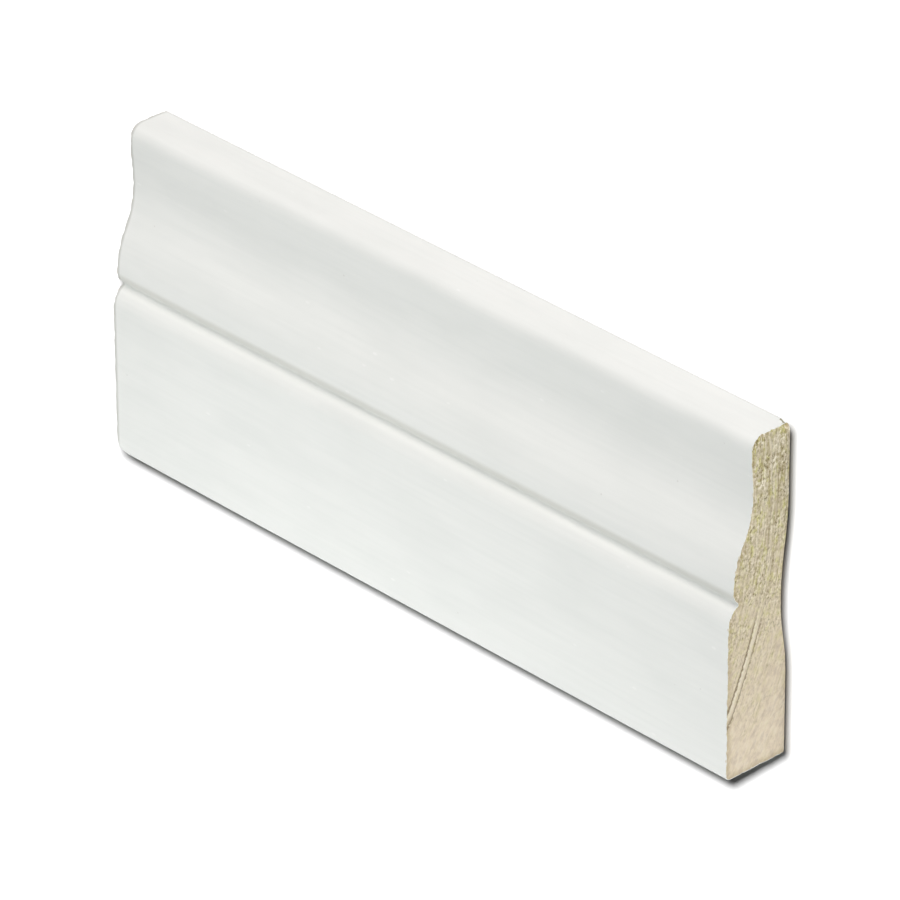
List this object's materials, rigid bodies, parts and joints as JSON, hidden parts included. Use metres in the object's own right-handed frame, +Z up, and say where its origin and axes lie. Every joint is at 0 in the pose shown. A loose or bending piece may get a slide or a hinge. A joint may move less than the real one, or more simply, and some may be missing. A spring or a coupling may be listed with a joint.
{
  "type": "cover strip",
  "caption": "Short length of white painted pine cover strip with an ogee, a quirk and a flat face, bare sawn ends and a relieved bare back.",
  "frame": {"origin": "centre of the strip on the plane of its two back lands, which it lies on", "axes": "+X along the length, +Y across the width towards the thin edge, +Z up out of the painted face"},
  "size_m": [0.17, 0.07, 0.015],
  "materials": {
    "painted_pine": "satin white paint on the face and both edges, bare sawn ends, bare planed back"
  },
  "bodies": {
    "root": {"cover_strip": "painted_pine"}
  },
  "joints": []
}
